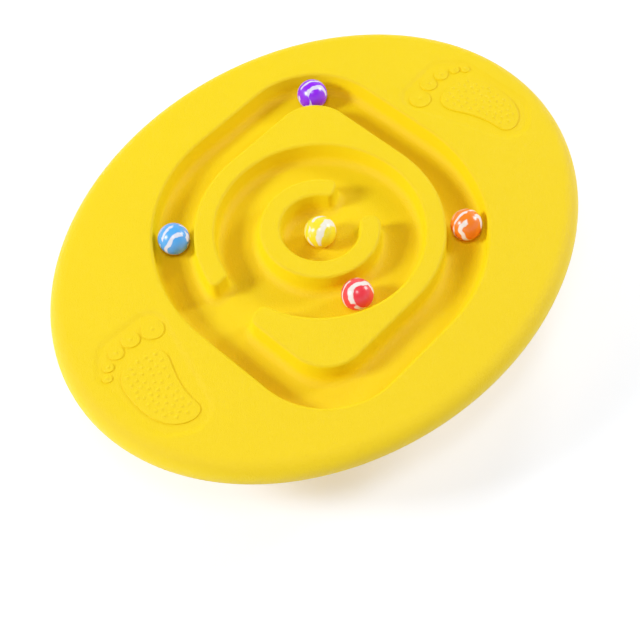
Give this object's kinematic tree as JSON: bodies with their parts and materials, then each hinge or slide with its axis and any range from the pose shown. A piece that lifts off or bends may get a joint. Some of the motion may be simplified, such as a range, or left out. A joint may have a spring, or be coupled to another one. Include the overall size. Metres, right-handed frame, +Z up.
{
  "type": "balance board",
  "caption": "Oval yellow balance board with a sunk ball maze and raised footprints, a domed base that rocks, and marbled balls that roll in the maze.",
  "frame": {"origin": "on the floor under the middle of the board, where the rubber pad rests", "axes": "+X along the board's long axis towards the right footprint, +Y towards the toes, +Z up"},
  "size_m": [0.5, 0.396, 0.1063],
  "materials": {
    "deck_plastic": "fine sandblast grain, smoother in the maze",
    "base_plastic": "fine sandblast grain",
    "pad_rubber": "matt moulded rubber",
    "screw_steel": "zinc plated",
    "ball_blue": "marbled bouncy rubber, satin",
    "ball_purple": "marbled bouncy rubber, satin",
    "ball_yellow": "marbled bouncy rubber, satin",
    "ball_red": "marbled bouncy rubber, satin",
    "ball_orange": "marbled bouncy rubber, satin"
  },
  "bodies": {
    "board": {"deck": "deck_plastic", "rocker_base": "base_plastic", "foot_pad": "pad_rubber", "grip_ring": "pad_rubber", "shell_screws": "screw_steel"},
    "blue_ball": {"ball_blue": "ball_blue"},
    "purple_ball": {"ball_purple": "ball_purple"},
    "yellow_ball": {"ball_yellow": "ball_yellow"},
    "red_ball": {"ball_red": "ball_red"},
    "orange_ball": {"ball_orange": "ball_orange"}
  },
  "joints": [
    {"name": "blue_ball_run", "type": "hinge", "parent": "board", "child": "blue_ball", "pos_m": [0, 0, 0.0928], "axis": [0, 0, 1], "range_deg": [-38, 38]},
    {"name": "purple_ball_run", "type": "hinge", "parent": "board", "child": "purple_ball", "pos_m": [0.0717, 0.0717, 0.0928], "axis": [0, 0, 1], "range_deg": [-42, 42]},
    {"name": "orange_ball_run", "type": "hinge", "parent": "board", "child": "orange_ball", "pos_m": [0, 0, 0.0928], "axis": [0, 0, 1], "range_deg": [-38, 38]},
    {"name": "red_ball_run", "type": "hinge", "parent": "board", "child": "red_ball", "pos_m": [0, 0, 0.0928], "axis": [0, 0, 1], "continuous": true},
    {"name": "yellow_ball_run", "type": "slide", "parent": "board", "child": "yellow_ball", "axis": [0.9986, -0.0523, 0], "range_m": [-0.016, 0.042]}
  ]
}
